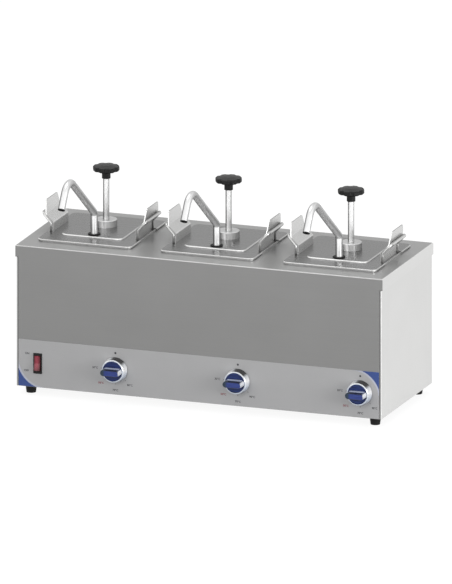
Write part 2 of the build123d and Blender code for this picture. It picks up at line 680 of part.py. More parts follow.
def make_lid_handle():
    x, bend_z = handle_line(0)
    tab_x = x + HANDLE_LIP
    tab_z = bend_z + HANDLE_LIP / tan(radians(LIP_ANGLE))
    tip_z = tab_z + TAB_H
    line = FilletPolyline(
        (x, LID_TOP_Z - LID_SHEET), (x, bend_z), (tab_x, tab_z), (tab_x + TAB_LEAN, tip_z),
        radius=HANDLE_BEND_R,
    )
    sheet = extrude(Plane.XZ * trace(line, HANDLE_SHEET), amount=LID_HANDLE_L / 2, both=True)
    # Outline seen from the side: full length below, a tapered tab with round corners above.
    half, base, top = LID_HANDLE_L / 2, TAB_BASE_L / 2, TAB_TOP_L / 2
    shoulder_z = tab_z - (half - base)
    outline = make_face(Polyline(
        (-half, PAN_RIM_Z), (-half, shoulder_z), (-base, tab_z), (-top, tip_z),
        (top, tip_z), (base, tab_z), (half, shoulder_z), (half, PAN_RIM_Z), close=True,
    ))
    outline = fillet(outline.vertices().group_by(Axis.Y)[-1], TAB_CORNER_R)
    return sheet & extrude(Plane.YZ * outline, amount=LID_W)


def make_pan_handle():
    """Handle round the outside of the lid's one, its hem beside the foot of the tab."""
    offset = HANDLE_SHEET + HANDLE_GAP
    x, bend_z = handle_line(offset)
    hem_x = handle_line(0)[0] + HANDLE_LIP + HANDLE_SHEET / 2 + HANDLE_GAP + HEM_R
    hem_z = bend_z + (hem_x - x) / tan(radians(LIP_ANGLE))
    line = FilletPolyline(
        (x, PAN_RIM_Z - PAN_SHEET), (x, bend_z), (hem_x, hem_z),
        radius=HANDLE_BEND_R - offset,
    )
    sheet = extrude(Plane.XZ * trace(line, HANDLE_SHEET), amount=PAN_HANDLE_L / 2, both=True)
    at = Pos(hem_x, 0, hem_z)
    hem = at * TO_FRONT * Cylinder(HEM_R, PAN_HANDLE_L)
    bore = at * TO_FRONT * Cylinder(HEM_BORE_R, PAN_HANDLE_L)
    return sheet + hem - bore


def make_pan():
    top = PAN_RIM_Z
    rim = slab(PAN_W, PAN_D, PAN_RIM_R, DECK_Z, top)
    rim = fillet(top_edges(rim), PAN_SHEET / 2)
    under = slab(PAN_W - 2 * PAN_SHEET, PAN_D - 2 * PAN_SHEET, PAN_RIM_R - PAN_SHEET,
                 DECK_Z, top - PAN_SHEET)
    pan = rim - under + pan_body(0, PAN_FLOOR_Z)
    pan -= pan_body(PAN_SHEET, PAN_FLOOR_Z + PAN_SHEET)
    return pan + mirrored(make_pan_handle())


def make_lid():
    low_z = LID_TOP_Z - LID_SKIRT_H
    plate = slab(LID_W, LID_D, LID_CORNER_R, low_z, LID_TOP_Z)
    plate = chamfer(top_edges(plate), LID_EDGE)
    inner = slab(LID_W - 2 * LID_SKIRT_T, LID_D - 2 * LID_SKIRT_T, LID_CORNER_R - LID_SKIRT_T,
                 low_z, PAN_RIM_Z)
    step = slab(STEP_W, STEP_D, STEP_CORNER_R, PAN_RIM_Z, STEP_Z)
    step = chamfer(top_edges(step), STEP_EDGE)
    under = slab(STEP_W - 2 * LID_SHEET, STEP_D - 2 * LID_SHEET, STEP_CORNER_R - LID_SHEET,
                 PAN_RIM_Z, STEP_UNDER_Z)
    lid = plate - inner + step - under
    edge_x = LID_W / 2 - HANDLE_INSET + HANDLE_SHEET
    half = LID_NOTCH_L / 2
    lid -= mirrored(block(edge_x, LID_W, -half, half, low_z - TOOL, LID_TOP_Z + TOOL))
    lid += mirrored(make_lid_handle())
    lid -= Pos(0, PUMP_Y, 0) * rod(NECK_R + SLIDE_CLEAR, PAN_RIM_Z, STEP_Z + TOOL)
    lid -= Pos(0, RISER_Y, 0) * rod(SPOUT_R + SLIDE_CLEAR, PAN_RIM_Z, STEP_Z + TOOL)
    return lid


# ---------------------------------------------------------------- pump, about its own axis

def make_pump_cylinder():
    """Tube under the lid, with a flange against the lid and a neck up through it."""
    return turned([
        (PUMP_BORE_R, VALVE_TOP_Z), (PUMP_TUBE_R, VALVE_TOP_Z),
        (PUMP_TUBE_R, STEP_UNDER_Z - PUMP_FLANGE_T), (PUMP_FLANGE_R, STEP_UNDER_Z - PUMP_FLANGE_T),
        (PUMP_FLANGE_R, STEP_UNDER_Z), (NECK_R, STEP_UNDER_Z),
        (NECK_R, STEP_Z + NECK_RISE), (ROD_R + SLIDE_CLEAR, STEP_Z + NECK_RISE),
        (ROD_R + SLIDE_CLEAR, CYLINDER_TOP_Z), (PUMP_BORE_R, CYLINDER_TOP_Z),
    ])


def make_pump_collar():
    """Cap nut that clamps the cylinder's neck to the lid."""
    nut = rod(COLLAR_R, STEP_Z, STEP_Z + COLLAR_H)
    nut = chamfer(top_edges(nut), COLLAR_EDGE)
    nut -= rod(NECK_R + FIT_CLEAR, STEP_Z, STEP_Z + NECK_RISE + FIT_CLEAR)
    return nut - rod(ROD_R + SLIDE_CLEAR, STEP_Z, STEP_Z + TOOL)


def make_valve_body():
    """Foot of the pump: inlet from below, discharge port towards the spout's tube."""
    body = rod(PUMP_TUBE_R, VALVE_FOOT_Z, VALVE_TOP_Z)
    body = chamfer(body.edges().group_by(Axis.Z)[0], VALVE_EDGE)
    boss = rod(VALVE_BOSS_R, 0, PUMP_TUBE_R + VALVE_BOSS_L)
    body += Pos(0, 0, PORT_Z) * TO_FRONT * boss
    body -= rod(VALVE_INLET_R, VALVE_FOOT_Z, VALVE_TOP_Z)
    body -= Pos(0, 0, PORT_Z) * TO_FRONT * rod(SPOUT_R + FIT_CLEAR, PUMP_TUBE_R - VALVE_BOSS_L, TOOL)
    return body - Pos(0, 0, PORT_Z) * TO_FRONT * rod(SPOUT_BORE_R, 0, TOOL)


def make_plunger_rod():
    """Rod from the piston up into the knob, with a stub into the piston."""
    return rod(ROD_R, PISTON_TOP_Z, ROD_TOP_Z) + rod(ROD_STUB_R, PISTON_TOP_Z - ROD_STUB_L, PISTON_TOP_Z)


def make_piston():
    """Piston with seal grooves and a blind hole for the rod's stub."""
    land_r = PUMP_BORE_R - SLIDE_CLEAR
    groove_r = land_r - PISTON_GROOVE
    bands = 2 * PISTON_GROOVE_COUNT + 1
    points = [(0, PISTON_FOOT_Z)]
    for k in range(bands):
        radius = groove_r if k % 2 else land_r
        z = PISTON_FOOT_Z + k * PISTON_L / bands
        points += [(radius, z), (radius, z + PISTON_L / bands)]
    points.append((0, PISTON_TOP_Z))
    return turned(points) - rod(ROD_STUB_R + FIT_CLEAR, PISTON_TOP_Z - ROD_STUB_L, PISTON_TOP_Z)


def make_pump_spring():
    """Return spring between the valve body and the piston, lofted through radial sections."""
    half = SPRING_WIRE / 2
    inner, outer = SPRING_R - half, SPRING_R + half
    rise = PISTON_FOOT_Z - VALVE_TOP_Z - SPRING_WIRE
    count = SPRING_TURNS * SPRING_STATIONS
    sections = []
    for k in range(count + 1):
        z = VALVE_TOP_Z + half + rise * k / count
        corners = [(inner, z - half), (outer, z - half), (outer, z + half), (inner, z + half)]
        section = Plane.XZ * make_face(Polyline(*corners, close=True))
        sections.append(Rotation(0, 0, k * 360 / SPRING_STATIONS) * section)
    return loft(sections, ruled=True)


def make_plunger_knob():
    """Star knob with scalloped rim, crowned above and tapered below to a bored hub."""
    star_z = HUB_Z + HUB_H
    top_z = star_z + STAR_H
    rim_z = top_z - STAR_RIM_H
    star = rod(STAR_R, rim_z, top_z)
    scallop = rod(STAR_SCALLOP_R, rim_z - TOOL, top_z + TOOL)
    reach = STAR_R + STAR_SCALLOP_R - STAR_SCALLOP_DEPTH
    for k in range(STAR_LOBES):
        star -= Rotation(0, 0, (k + 0.5) * 360 / STAR_LOBES) * Pos(reach, 0, 0) * scallop
    star = chamfer(top_edges(star) + star.edges().group_by(Axis.Z)[0], STAR_EDGE)
    core_r = STAR_R - STAR_SCALLOP_DEPTH - STAR_EDGE
    core = turned([
        (0, HUB_Z), (HUB_R, HUB_Z), (HUB_R, star_z), (core_r, rim_z), (core_r, top_z),
        (HUB_R, top_z + STAR_CROWN), (0, top_z + STAR_CROWN),
    ])
    return star + core - rod(ROD_R + FIT_CLEAR, HUB_Z, ROD_TOP_Z)


# ---------------------------------------------------------------- spout

def spout_corners():
    """Corners of the tube's line in (y, z), from the valve body to the nozzle."""
    start = (PUMP_Y - PUMP_TUBE_R + VALVE_BOSS_L - FIT_CLEAR, PORT_Z)
    heel = (RISER_Y, PORT_Z)
    knee = (RISER_Y, STEP_Z + SPOUT_RISE)
    tip = (RISER_Y - SPOUT_REACH, STEP_Z + SPOUT_TIP_Z)
    # The slanting part and the down leg meet at the top corner.
    climb = tan(radians(SPOUT_SLOPE))
    fall = 1 / tan(radians(SPOUT_FALL))
    run = (tip[1] - knee[1] + fall * SPOUT_REACH) / (climb + fall)
    crest = (RISER_Y - run, knee[1] + climb * run)
    return [start, heel, knee, crest, tip]


def nozzle_direction():
    """Unit (y, z) of the down leg, out of the nozzle."""
    return -sin(radians(SPOUT_FALL)), -cos(radians(SPOUT_FALL))


def make_spout_tube():
    """Bent tube from the valve body up through the lid, over and down to the nozzle."""
    points = [(0, y, z) for y, z in spout_corners()]
    path = FilletPolyline(*points, radius=[SPOUT_ELBOW_R, SPOUT_ELBOW_R, SPOUT_TOP_R])
    section = Plane(origin=path @ 0, x_dir=(1, 0, 0), z_dir=path % 0)
    return sweep(section * (Circle(SPOUT_R) - Circle(SPOUT_BORE_R)), path=path)


def nozzle_frame():
    """Frame at the nozzle with local +Z along the flow."""
    tip_y, tip_z = spout_corners()[-1]
    out_y, out_z = nozzle_direction()
    return Plane(origin=(0, tip_y, tip_z), x_dir=(1, 0, 0), z_dir=(0, out_y, out_z))


def make_spout_seals():
    """Grommet round the riser on the lid, and the insert in the nozzle."""
    grommet = rod(GROMMET_R, STEP_Z, STEP_Z + GROMMET_H)
    grommet = chamfer(top_edges(grommet), GROMMET_H / 3)
    grommet -= rod(SPOUT_R + FIT_CLEAR, STEP_Z, STEP_Z + GROMMET_H)
    insert = rod(SPOUT_R, 0, NOZZLE_LIP_T) + rod(SPOUT_BORE_R - FIT_CLEAR, -NOZZLE_INSERT_L, 0)
    insert -= rod(NOZZLE_BORE_R, -NOZZLE_INSERT_L, NOZZLE_LIP_T)
    return [Pos(0, RISER_Y, 0) * grommet, nozzle_frame().location * insert]


# ---------------------------------------------------------------- assembly

def case_pieces():
    right = make_side_panel()
    return {
        "top_front_panel": make_top_front_panel(),
        "side_panel_right": right,
        "side_panel_left": mirror(right, about=Plane.YZ),
        "rear_panel": make_rear_panel(),
        "base_plate": make_base_plate(),
        "feet": make_feet(),
        "screws": make_screws(),
        "control_overlay": make_control_overlay(),
        "switch_bezel": make_switch_bezel(),
        "switch_rocker": make_switch_rocker(),
        "cable_gland": make_cable_gland(),
        "terminal_block": make_terminal_block(),
    }


def station_pieces():
    """Pieces of one heated well, about the middle of the well."""
    pump = Pos(0, PUMP_Y, 0)
    dial = Pos(DIAL_OFFSET_X, OVERLAY_Y, DIAL_AXIS_Z)
    return {
        "well_tank": make_well_tank(),
        "heater": make_heater(),
        "thermostat": Pos(DIAL_OFFSET_X, STAT_PLATE_Y, DIAL_AXIS_Z) * make_thermostat(),
        "dial_ring": dial * make_dial_ring(),
        "dial_grip": dial * make_dial_grip(),
        "pan": make_pan(),
        "lid": make_lid(),
        "pump_collar": pump * make_pump_collar(),
        "pump_cylinder": pump * make_pump_cylinder(),
        "valve_body": pump * make_valve_body(),
        "pump_spring": pump * make_pump_spring(),
        "plunger_rod": pump * make_plunger_rod(),
        "piston": pump * make_piston(),
        "plunger_knob": pump * make_plunger_knob(),
        "spout_tube": make_spout_tube(),
        "spout_seals": make_spout_seals(),
    }


def main():
    pieces = case_pieces()
    station = station_pieces()
    for number, x in enumerate(WELL_X, start=1):
        for name, shape in station.items():
            solids = shape if isinstance(shape, list) else [shape]
            pieces[f"{name}_{number}"] = [Pos(x, 0, 0) * solid for solid in solids]
    front_y = min(s.bounding_box().min.Y for s in pieces["spout_seals_1"])
    back_y = pieces["cable_gland"].bounding_box().max.Y
    to_origin = Pos(0, -(front_y + back_y) / 2, 0)
    print(f"case middle at y = {-(front_y + back_y) / 2:.4f}")
    os.makedirs("parts", exist_ok=True)
    for name, shape in pieces.items():
        solids = shape if isinstance(shape, list) else [shape]
        moved = [to_origin * solid for solid in solids]
        export_step(moved[0] if len(moved) == 1 else Compound(children=moved), f"parts/{name}.step")


main()
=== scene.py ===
import json
import math

import bmesh
import bpy
from mathutils import Matrix, Vector


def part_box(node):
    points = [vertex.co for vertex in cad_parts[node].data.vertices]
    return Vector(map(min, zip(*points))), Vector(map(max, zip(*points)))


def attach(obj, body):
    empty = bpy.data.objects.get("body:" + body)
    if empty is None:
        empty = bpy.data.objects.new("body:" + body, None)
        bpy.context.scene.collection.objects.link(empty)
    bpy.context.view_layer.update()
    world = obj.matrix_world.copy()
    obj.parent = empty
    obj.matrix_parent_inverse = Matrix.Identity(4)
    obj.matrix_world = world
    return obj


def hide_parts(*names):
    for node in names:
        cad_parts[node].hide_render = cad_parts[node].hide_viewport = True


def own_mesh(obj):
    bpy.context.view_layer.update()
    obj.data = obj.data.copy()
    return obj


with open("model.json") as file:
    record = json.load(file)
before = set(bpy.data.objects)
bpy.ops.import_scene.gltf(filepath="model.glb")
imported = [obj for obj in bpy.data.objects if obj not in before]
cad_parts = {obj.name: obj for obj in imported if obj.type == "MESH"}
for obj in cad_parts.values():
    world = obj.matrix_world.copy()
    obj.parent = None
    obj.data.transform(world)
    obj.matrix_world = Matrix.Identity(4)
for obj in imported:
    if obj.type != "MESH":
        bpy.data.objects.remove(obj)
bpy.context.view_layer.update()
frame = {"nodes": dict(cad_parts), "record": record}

# Metres, in the frame of the model: +X right, +Y away from the user, +Z up.

nodes = frame["nodes"]
STATIONS = (1, 2, 3)
MM = 0.001
MERGE_DISTANCE = 1e-7


def middle(name):
    """Middle of a node's box, as the numbers x, y and z."""
    return [(low + high) / 2 for low, high in zip(*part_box(name))]


# ---------------------------------------------------------------- camera

PHOTO_W, PHOTO_H = 452, 584
AZIMUTH = math.radians(19.79)
ELEVATION = math.radians(15.15)
PIXELS_PER_M = 600.5
ORIGIN_PX = (224.34, 392.5)      # where the middle of the case's foot is in the photograph
CAMERA_DISTANCE = 4.0


def make_camera(case_middle):
    """Orthographic camera at the photograph's angle, framed on the middle of the case."""
    right = Vector((math.cos(AZIMUTH), math.sin(AZIMUTH), 0))
    forward = Vector((
        -math.sin(AZIMUTH) * math.cos(ELEVATION),
        math.cos(AZIMUTH) * math.cos(ELEVATION),
        -math.sin(ELEVATION),
    ))
    up = right.cross(forward)
    across = (ORIGIN_PX[0] - PHOTO_W / 2) / PIXELS_PER_M
    above = (PHOTO_H / 2 - ORIGIN_PX[1]) / PIXELS_PER_M
    data = bpy.data.cameras.new("camera")
    data.type = "ORTHO"
    data.ortho_scale = PHOTO_H / PIXELS_PER_M
    camera = bpy.data.objects.new("camera", data)
    bpy.context.scene.collection.objects.link(camera)
    place = case_middle - right * across - up * above - forward * CAMERA_DISTANCE
    turn = Matrix((right, up, -forward)).transposed()
    camera.matrix_world = Matrix.Translation(place) @ turn.to_4x4()
    bpy.context.scene.camera = camera


make_camera(Vector((0, middle("top_front_panel")[1], 0)))


# ---------------------------------------------------------------- node material helpers

NOISE_RANGE = (0.3, 0.7)         # where noise mostly lies
GRAIN_DEPTH = 0.2 * MM           # relief of a material's bump at strength 1
POLISH_DEPTH = 0.1 * MM
UP = (0, 0, 1)

materials = {}                   # by name: Blender adds a suffix to those that the frame has


class Shader:
    """A node material under construction. Coordinates and normals are the object's own."""

    def __init__(self, name):
        self.name = name
        self.material = bpy.data.materials.new(name)
        self.material.use_nodes = True
        self.tree = self.material.node_tree
        self.surface = self.tree.nodes["Principled BSDF"]

    def node(self, kind, **settings):
        made = self.tree.nodes.new(kind)
        for key, value in settings.items():
            setattr(made, key, value)
        return made

    def link(self, source, target):
        self.tree.links.new(source, target)

    def put(self, socket, value):
        """Give a socket a constant, or link it to another socket."""
        if isinstance(value, bpy.types.NodeSocket):
            self.link(value, socket)
        else:
            socket.default_value = value

    def noise(self, scale, detail=2.0, roughness=0.5):
        """Noise with the given number of waves per metre, one number or one for each axis."""
        where = self.node("ShaderNodeTexCoord")
        mapping = self.node("ShaderNodeMapping")
        mapping.inputs["Scale"].default_value = scale if isinstance(scale, tuple) else (scale,) * 3
        self.link(where.outputs["Object"], mapping.inputs["Vector"])
        made = self.node("ShaderNodeTexNoise")
        made.inputs["Scale"].default_value = 1.0
        made.inputs["Detail"].default_value = detail
        made.inputs["Roughness"].default_value = roughness
        self.link(mapping.outputs["Vector"], made.inputs["Vector"])
        return made.outputs["Fac"]

    def around(self, noise, value, spread):
        """The value, varied by noise up to a spread on both sides."""
        return self.span(noise, *NOISE_RANGE, value - spread, value + spread)

    def shade(self, color, factor):
        """A colour times a factor near 1."""
        return self.blend(1.0, color, factor, "MULTIPLY")

    def calculate(self, operation, *values):
        """Result of a math node, from constants and sockets."""
        made = self.node("ShaderNodeMath", operation=operation)
        for socket, value in zip(made.inputs, values):
            self.put(socket, value)
        return made.outputs["Value"]

    def times(self, first, second):
        return self.calculate("MULTIPLY", first, second)

    def normal(self):
        return self.node("ShaderNodeTexCoord").outputs["Normal"]

    def unsigned_normal(self):
        """Share of the normal along each axis, whichever way it points."""
        made = self.node("ShaderNodeVectorMath", operation="ABSOLUTE")
        self.link(self.normal(), made.inputs[0])
        return made.outputs["Vector"]

    def dot(self, vector, constant):
        made = self.node("ShaderNodeVectorMath", operation="DOT_PRODUCT")
        self.link(vector, made.inputs[0])
        made.inputs[1].default_value = constant
        return made.outputs["Value"]

    def facing(self, direction):
        """Cosine between the surface's normal and a direction."""
        return self.dot(self.normal(), Vector(direction).normalized())

    def tone(self, painted_axis_greys):
        """Painted light and shade: a grey by the axis that a face looks along, from the three axes'
        greys.
        """
        return self.dot(self.unsigned_normal(), painted_axis_greys)

    def bend(self, strength):
        """Strength of a painted highlight on bends between the front and the top, 0 on flat faces
        along Y or Z.
        """
        split = self.node("ShaderNodeSeparateXYZ")
        self.link(self.unsigned_normal(), split.inputs["Vector"])
        return self.times(self.times(split.outputs["Y"], split.outputs["Z"]), 2 * strength)

    def place(self, axis):
        """One coordinate, in metres."""
        where = self.node("ShaderNodeTexCoord")
        split = self.node("ShaderNodeSeparateXYZ")
        self.link(where.outputs["Object"], split.inputs["Vector"])
        return split.outputs[axis]

    def span(self, value, start, end, first, second):
        """Map start to end, to first to second, and hold the ends."""
        made = self.node("ShaderNodeMapRange")
        ends = {"From Min": start, "From Max": end, "To Min": first, "To Max": second}
        for key, number in ends.items():
            made.inputs[key].default_value = number
        self.link(value, made.inputs["Value"])
        return made.outputs["Result"]

    def bands(self, value, stops):
        """Colour by the value from -1 to 1, from stops of (value, grey or colour)."""
        made = self.node("ShaderNodeValToRGB")
        elements = made.color_ramp.elements
        while len(elements) < len(stops):
            elements.new(0.5)
        for element, (at, color) in zip(elements, stops):
            element.position = (at + 1) / 2
            element.color = (*(color if isinstance(color, tuple) else (color,) * 3), 1.0)
        self.link(self.span(value, -1, 1, 0, 1), made.inputs["Fac"])
        return made.outputs["Color"]

    def blend(self, factor, first, second, kind="MIX"):
        """Mix of two colours."""
        made = self.node("ShaderNodeMix", data_type="RGBA", blend_type=kind)
        for socket, value in (("Factor", factor), ("A", first), ("B", second)):
            target = made.inputs[socket]
            self.put(target, (*value, 1.0) if isinstance(value, tuple) else value)
        return made.outputs["Result"]

    def finish(self, color, rough, relief, strength, depth=GRAIN_DEPTH, **more):
        """Finish the material with its colour, roughness, bump and any more inputs, and list it."""
        inputs = self.surface.inputs
        self.put(inputs["Base Color"], color)
        self.put(inputs["Roughness"], rough)
        for key, value in more.items():
            self.put(inputs[key.replace("_", " ")], value)
        made = self.node("ShaderNodeBump")
        made.inputs["Strength"].default_value = strength
        made.inputs["Distance"].default_value = depth
        self.link(relief, made.inputs["Height"])
        self.link(made.outputs["Normal"], inputs["Normal"])
        materials[self.name] = self.material


def brushed(name, painted_axis_greys, grain, rough, metallic=1.0, deck_metallic=None, edge=0.0):
    """Brushed stainless steel with painted light and shade: a grey for each axis that it looks
    along.
    Edge paints a highlight on its front bends, and deck_metallic is for faces that look up."""
    shader = Shader(name)
    streaks = shader.noise(grain, detail=4.0, roughness=0.6)
    clouds = shader.noise(9.0)
    # painted light and shade by the axis a face looks along, plus a painted highlight on the front
    # bends
    grey = shader.calculate("ADD", shader.tone(painted_axis_greys), shader.bend(edge))
    grey = shader.times(grey, shader.around(streaks, 1, 0.02))
    grey = shader.times(grey, shader.around(clouds, 1, 0.02))
    more = {"Metallic": metallic}
    if deck_metallic is not None:
        upward = shader.facing(UP)
        more["Metallic"] = shader.span(upward, 0.5, 0.9, metallic, deck_metallic)
        more["Specular_IOR_Level"] = 0.15
    color = shader.shade((1.0, 1.0, 0.99), grey)
    shader.finish(color, shader.around(streaks, rough, 0.02), streaks, 0.02, **more)


def polished(name, tone, rough):
    """Bright metal with faint polishing marks and smears."""
    shader = Shader(name)
    marks = shader.noise(260.0, detail=3.0)
    smears = shader.noise(40.0)
    color = shader.shade((tone, tone, tone), shader.around(smears, 1, 0.04))
    rough = shader.around(smears, rough, 0.03)
    shader.finish(color, rough, marks, 0.03, POLISH_DEPTH, Metallic=1.0)


def tubing(name, rough, metallic):
    """Bright drawn tube with a painted reflection: pale along the middle and darker on the flanks,
    with painted shade on its upper side.
    """
    shader = Shader(name)
    drawn = shader.noise((900.0, 900.0, 14.0))
    smears = shader.noise(40.0)
    # painted reflection: pale along the middle, dark on the flanks, by the direction the surface
    # faces
    painted_flank_reflection = shader.bands(shader.facing((-0.94, -0.34, 0)), (
        (-1.0, 0.45), (-0.78, 0.60), (-0.5, 0.96), (0.3, 1.0),
        (0.55, 0.90), (0.76, 0.20), (1.0, 0.28)))
    # painted shade: faces that look up are duller
    upper = shader.span(shader.facing(UP), 0.35, 0.9, 1.0, 0.62)
    grey = shader.times(upper, shader.around(smears, 1, 0.03))
    grey = shader.times(grey, shader.around(drawn, 1, 0.03))
    color = shader.blend(1.0, painted_flank_reflection, grey, "MULTIPLY")
    rough = shader.around(smears, rough, 0.03)
    shader.finish(color, rough, drawn, 0.006, POLISH_DEPTH, Metallic=metallic,
                  Specular_IOR_Level=0.15, Specular_Tint=(0.6, 0.6, 0.6, 1.0))


def spun_chrome(name, rough, metallic):
    """Spun chrome ring with a painted reflection: bright, and dark across its upper right."""
    shader = Shader(name)
    lathe = shader.noise((300.0, 2400.0, 300.0))
    # painted reflection: bright and dark bands by the direction the surface faces
    painted_reflection_bands = shader.bands(shader.facing((0.34, 0, 0.94)), (
        (-1.0, (0.50, 0.54, 0.62)), (0.0, (0.66, 0.72, 0.82)), (0.5, 0.97),
        (0.78, (0.60, 0.62, 0.64)), (0.90, 0.05), (1.0, 0.03)))
    color = shader.blend(1.0, painted_reflection_bands, shader.around(lathe, 1, 0.05), "MULTIPLY")
    rough = shader.around(lathe, rough, 0.03)
    shader.finish(color, rough, lathe, 0.02, POLISH_DEPTH, Metallic=metallic)


# Where the dial's colours change: behind the grip's front, for its front colour and for the painted
# light and shade on its flanks, and left of its axis.
FRONT_FADES = (6 * MM, 3 * MM)
LIGHT_FADES = (7 * MM, 10 * MM)
TIP_FADES = (7 * MM, 11.5 * MM)


def dial_plastic(name, grip_front, dial_x, pitch):
    """Navy face with streaks and a lighter grip with a dark tip, with painted highlights along its
    flanks and on its right end, and a painted dark line along its upper chamfer.
    Dial_x is the first dial's axis and pitch the distance to the next one."""
    shader = Shader(name)
    streaks = shader.around(shader.noise((70.0, 70.0, 620.0), detail=3.0), 0.5, 0.5)
    grain = shader.noise(900.0)
    depth = shader.place("Y")
    upward = shader.facing(UP)

    face = shader.blend(streaks, (0.003, 0.009, 0.055), (0.015, 0.038, 0.165))
    front = shader.blend(streaks, (0.024, 0.042, 0.19), (0.038, 0.064, 0.26))
    on_front = shader.span(depth, *(grip_front + far for far in FRONT_FADES), 0.0, 1.0)
    color = shader.blend(on_front, face, front)

    # painted light and shade on the grip's top and lower chamfer: dark near its front, pale further
    # back
    near_face = shader.span(depth, *(grip_front + far for far in LIGHT_FADES), 0.0, 1.0)
    light = shader.blend(near_face, (0.006, 0.009, 0.03), (0.42, 0.46, 0.58))
    flanks = shader.bands(upward, (
        (-1.0, 0.0), (-0.85, 0.0), (-0.7, 1.0), (-0.5, 0.0), (0.9, 0.0), (0.97, 1.0), (1.0, 1.0)))
    color = shader.blend(flanks, color, light)
    # painted shade: a dark line along the grip's upper chamfer
    edge = shader.bands(upward, ((0.0, 0.0), (0.3, 0.0), (0.45, 1.0), (0.85, 1.0), (0.93, 0.0)))
    color = shader.blend(edge, color, (0.006, 0.008, 0.02))

    across = shader.calculate("WRAP", shader.place("X"), dial_x + pitch / 2, dial_x - pitch / 2)
    tip = shader.span(across, *(dial_x - far for far in TIP_FADES), 0.0, 1.0)
    color = shader.blend(shader.times(on_front, tip), color, (0.022, 0.040, 0.062))
    # painted highlight on the grip's right end
    painted_highlight_facing = shader.facing((0.9, -0.1, 0.1))
    end = shader.bands(painted_highlight_facing, ((0.0, 0.0), (0.55, 0.0), (0.8, 1.0), (1.0, 1.0)))
    color = shader.blend(end, color, (0.70, 0.72, 0.76))
    rough = shader.around(grain, 0.34, 0.04)
    shader.finish(color, rough, grain, 0.05, Specular_IOR_Level=0.3)


PAINTED_FOOT_SHADE_H = 9 * MM               # height over which the painted shade at the rocker's foot fades out


def red_with_painted_glow(name, low, high):
    """Red translucent rocker with a painted glow down its middle and painted shade at its foot."""
    shader = Shader(name)
    grain = shader.noise((500.0, 500.0, 300.0))
    across = shader.place("X")
    centre, half = (low.x + high.x) / 2, (high.x - low.x) / 2
    # painted glow, brightest down the middle
    left = shader.span(across, centre - half, centre - 0.35 * half, 0.0, 1.0)
    right = shader.span(across, centre + 0.1 * half, centre + half, 1.0, 0.0)
    # painted shade, darker towards the foot
    foot = shader.span(shader.place("Z"), low.z, low.z + PAINTED_FOOT_SHADE_H, 0.15, 1.0)
    foot = shader.times(foot, shader.around(grain, 0.925, 0.075))
    glow = shader.times(shader.times(left, right), foot)
    color = shader.blend(glow, (0.045, 0.003, 0.005), (0.33, 0.05, 0.075))
    rough = shader.around(grain, 0.28, 0.04)
    shader.finish(color, rough, grain, 0.04, Specular_IOR_Level=0.3)


def moulded(name, color, rough, texture=900.0, bump=0.08, specular=0.5, clouding=0.08):
    """Moulded plastic or rubber with a fine surface texture and slight colour variation."""
    shader = Shader(name)
    grain = shader.noise(texture)
    color = shader.shade(color, shader.around(shader.noise(30.0), 1, clouding))
    rough = shader.around(grain, rough, 0.06)
    shader.finish(color, rough, grain, bump, Specular_IOR_Level=specular)


def film(name, color, rough=0.38, bump=0.04, clouding=0.08):
    """Plastic film, or the ink printed on it."""
    moulded(name, color, rough, texture=2600.0, bump=bump, clouding=clouding)


# ---------------------------------------------------------------- materials

X_GRAIN = (12.0, 1800.0, 1800.0)         # waves per metre of streaks that run along X
Y_GRAIN = (1800.0, 12.0, 1800.0)
Z_GRAIN = (1800.0, 1800.0, 12.0)

grip_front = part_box("dial_grip_1")[0].y
dial_xs = [middle(f"dial_ring_{k}")[0] for k in STATIONS]

# Where the three greys of a brushed steel differ, they are painted light and shade for faces along
# X, Y and Z; edge paints a highlight on the front bends.
brushed("case_steel", (0.67, 0.22, 0.27), X_GRAIN, 0.32, deck_metallic=0.2, edge=0.12)
brushed("side_steel", (0.67, 0.27, 0.27), Z_GRAIN, 0.38)
brushed("tank_steel", (0.30, 0.30, 0.30), Z_GRAIN, 0.40)
brushed("pan_steel", (0.60, 0.40, 0.110), X_GRAIN, 0.28, metallic=0.75, edge=0.38)
brushed("bail_steel", (0.50, 0.40, 0.26), Y_GRAIN, 0.28, metallic=0.75)
tubing("pump_steel", 0.24, 0.6)
polished("spring_steel", 0.45, 0.22)
polished("screw_steel", 0.45, 0.25)
brushed("heater_sheath", (0.12, 0.12, 0.12), X_GRAIN, 0.5)
polished("thermostat_shell", 0.42, 0.35)
spun_chrome("chrome", 0.16, 0.2)
dial_plastic("blue_plastic", grip_front, dial_xs[0], dial_xs[1] - dial_xs[0])
red_with_painted_glow("red_plastic", *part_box("switch_rocker"))
moulded("black_plastic", (0.005, 0.005, 0.005), 0.48, bump=0.05, specular=0.25)
moulded("white_plastic", (0.72, 0.70, 0.65), 0.45)
moulded("black_rubber", (0.007, 0.007, 0.007), 0.62, bump=0.10, specular=0.2)
film("overlay_film", (0.405, 0.405, 0.41), clouding=0.012)
film("print_blue", (0.026, 0.064, 0.245))
film("print_border", (0.48, 0.50, 0.58))
film("print_ink", (0.03, 0.03, 0.035), rough=0.45, bump=0.03)
film("print_red", (0.20, 0.035, 0.045), rough=0.45, bump=0.03)


def coat(mesh, material):
    """Give a mesh one material, by its name."""
    mesh.materials.clear()
    mesh.materials.append(materials[material])


for entry in frame["record"]["subparts"]:
    slot = entry["material_slot"]
    if entry["node"].startswith("side_panel"):
        slot = "side_steel"
    coat(nodes[entry["node"]].data, slot)


# ---------------------------------------------------------------- print on the control panel

